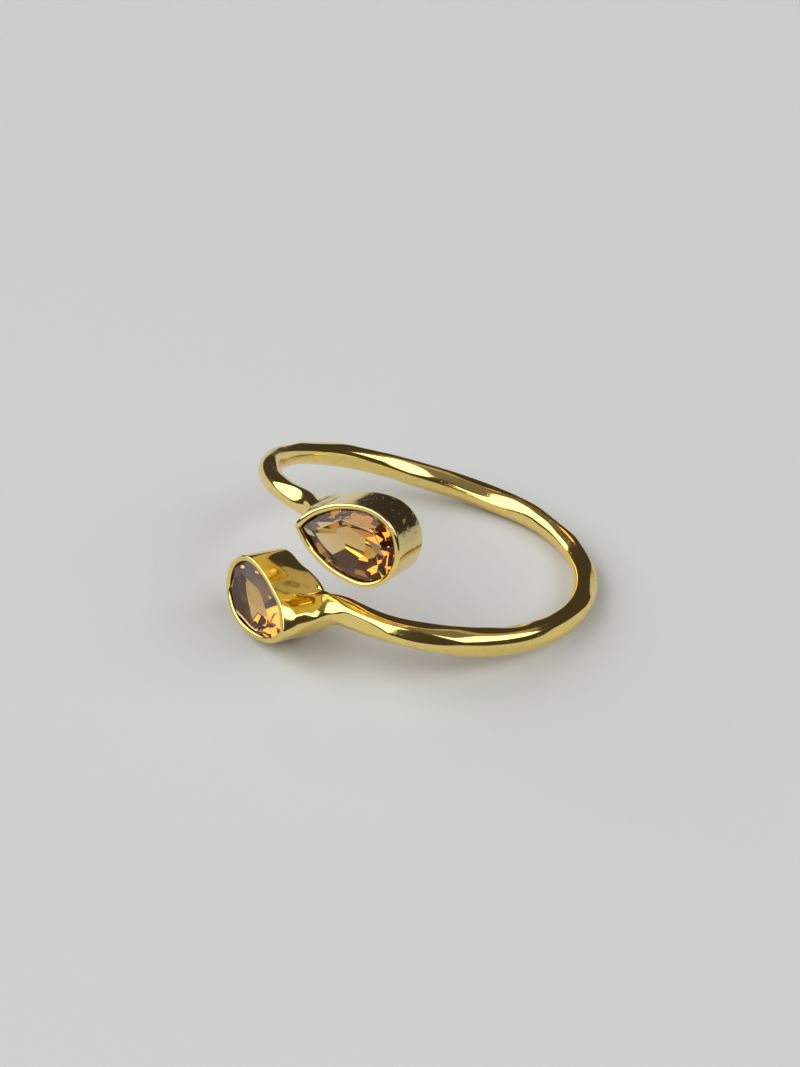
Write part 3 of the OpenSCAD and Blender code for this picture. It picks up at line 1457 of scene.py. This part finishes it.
UPPER_NECK = NeckSpot(
    low_y=-0.85 * MM, high_y=0.85 * MM, low_z=-2.7 * MM, high_z=-1.1 * MM, rows=6,
    filed_at=Vector((4.3, -0.1, -2.2)) * MM, filed_reach=1.1 * MM,
    solder=pushes(((3.0, -0.6, -2.9), (0.1, -0.3, -0.1), 1.5)),
)
LOWER_NECK = NeckSpot(
    low_y=-0.42 * MM, high_y=1.5 * MM, low_z=-2.5 * MM, high_z=-0.7 * MM, rows=4,
    filed_at=Vector((3.1, -0.5, -1.6)) * MM, filed_reach=1.05 * MM,
    solder=pushes(
        ((1.7, 1.45, -2.9), (-0.03, 0.34, -0.24), 2.2),
        ((2.6, 1.3, -1.0), (0.1, 0.16, 0), 1.4),
        ((2.95, 0.6, -1.3), (0.11, 0.1, 0), 1.5),
        ((2.93, 0.5, -0.5), (0.08, 0.07, 0), 0.8),
        ((3.12, 0, -1.5), (-0.12, -0.05, 0), 0.8),
        ((3.05, -0.1, -2.3), (-0.1, -0.02, 0), 0.8),
        ((1.1, 1.55, -2.95), (-0.04, -0.14, 0), 1.2),
        ((-0.5, 2.05, -2.95), (0, -0.14, 0), 1.3),
        ((0.4, 2.0, -1.8), (0.02, 0.09, 0), 1.5),
        ((2.35, 1.2, -1.3), (0.05, 0.09, 0), 0.8),
    ),
)

# The lower cup's back edge is more rounded, on the way to the wire, and its wall starts higher for that
WORN_BACK_EDGE = ((0.04, 0.15), (0.1, 0.13), (0.13, 0.1), (0.1, 0.05))
WORN_WALL_FROM = -2.56 * MM
# Middle of the upper cup's scuffed patch, which also gets a painted dark reflection
SCUFFED_DARK_REFLECTION_AT = Vector((-1.9, -1.9, -1.5)) * MM

# Places where the rims wander a little, in each cup's own frame
UPPER_DENTS = pushes(
    ((1.5, -1.15, -0.08), (-0.017, 0.061, 0.022), 1.1),
    ((-0.4, -1.9, -0.05), (0.0, -0.033, -0.011), 0.9),
    ((-2.8, -0.6, 0.0), (0.039, 0.0, 0.017), 0.9),
    ((-1.2, 2.0, 0.0), (0.0, 0.033, 0.011), 1.0),
    ((1.2, 1.4, 0.0), (-0.017, -0.033, 0.017), 0.9),
)
LOWER_DENTS = pushes(
    ((0.9, 1.5, 0.0), (0.011, 0.033, 0.028), 1.0),
    ((-2.4, 1.4, 0.0), (0.028, -0.028, 0.017), 0.9),
    ((-2.2, -1.6, 0.0), (0.028, 0.028, 0.011), 1.0),
    ((1.6, -1.2, 0.0), (0.0, -0.033, 0.011), 1.0),
)

# The marks that show in the photograph; a rule adds the small ones all round
CHARTED_MARKS = (
    HammerMark(-94, 88, 36, 0.15),
    HammerMark(-90, 20, 26, 0.1),
    HammerMark(-62, 84, 34, 0.1),
    HammerMark(-30, 92, 30, 0.08),
    HammerMark(-3, 50, 22, 0.17),
    HammerMark(19, 15, 22, 0.24),
    HammerMark(38, 60, 20, 0.1),
    HammerMark(64, 142, 38, 0.13),
    HammerMark(140, 82, 26, 0.14),
    HammerMark(155, 62, 20, 0.17),
    HammerMark(193, 95, 24, 0.1),
    HammerMark(223, 37, 36, 0.2),
)
GOLDEN_ANGLE = 137.5
WIRE_FROM, WIRE_TO = -117, 220
SMALL_FROM, SMALL_TO, SMALL_COUNT = -112, 216, 34
SMALL_LENGTH, LENGTH_SWING = 25, 8
SMALL_DEPTH, DEPTH_SWING = 0.085, 0.03


def small_marks(first: float, last: float, count: int) -> tuple[HammerMark, ...]:
    """Spreads small hammer marks round the wire, each turned by the golden angle.

    Args:
        first: Angle of the first.
        last: Angle of the last.
        count: How many.

    Returns:
        The marks.
    """
    step = (last - first) / count
    marks = []
    for row in range(count + 1):
        length = SMALL_LENGTH + LENGTH_SWING * math.sin(row)
        depth = SMALL_DEPTH + DEPTH_SWING * math.cos(row)
        marks.append(HammerMark(first + step * row, row * GOLDEN_ANGLE % 360, length, depth))
    return tuple(marks)


def dress(piece: bpy.types.Object, material: bpy.types.Material, node: str) -> None:
    """Gives a finished piece its material and its place in the frame.

    Args:
        piece: The piece.
        material: Its material.
        node: The solid that it stands for.
    """
    piece.data.materials.clear()
    piece.data.materials.append(material)
    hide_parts(node)
    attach(piece, "root")
    LOG.info("%s stands for %s, %d faces", piece.name, node, len(piece.data.polygons))


def main() -> None:
    """Builds the ring and the studio round it."""
    logging.basicConfig(level=logging.INFO, format="%(name)s: %(message)s")
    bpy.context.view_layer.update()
    bpy.ops.object.select_all(action="DESELECT")
    laid = RingFrame().laid()
    upper = BezelCup("upper_cup", UPPER_PLACE, UPPER_NECK, dents=UPPER_DENTS, scuffed_dark_reflection=SCUFFED_DARK_REFLECTION_AT)
    lower = BezelCup(
        "lower_cup", LOWER_PLACE, LOWER_NECK, dents=LOWER_DENTS,
        wall_from=WORN_WALL_FROM, back_edge=WORN_BACK_EDGE,
    )
    marks = CHARTED_MARKS + small_marks(SMALL_FROM, SMALL_TO, SMALL_COUNT)
    wire = ForgedWire(STATIONS, marks, WIRE_FROM, WIRE_TO)
    metal = BandAndCups(wire, (lower, upper), laid).build()
    dress(metal, GoldFinish().material(), "band_and_cups")
    citrine = CitrineFinish().material()
    for node, cup in (("upper_stone", upper), ("lower_stone", lower)):
        stone = PearStone(f"cut_{node}", cup, laid).build()
        dress(stone, citrine, node)
    Studio().build()


if __name__ == "__main__":
    main()
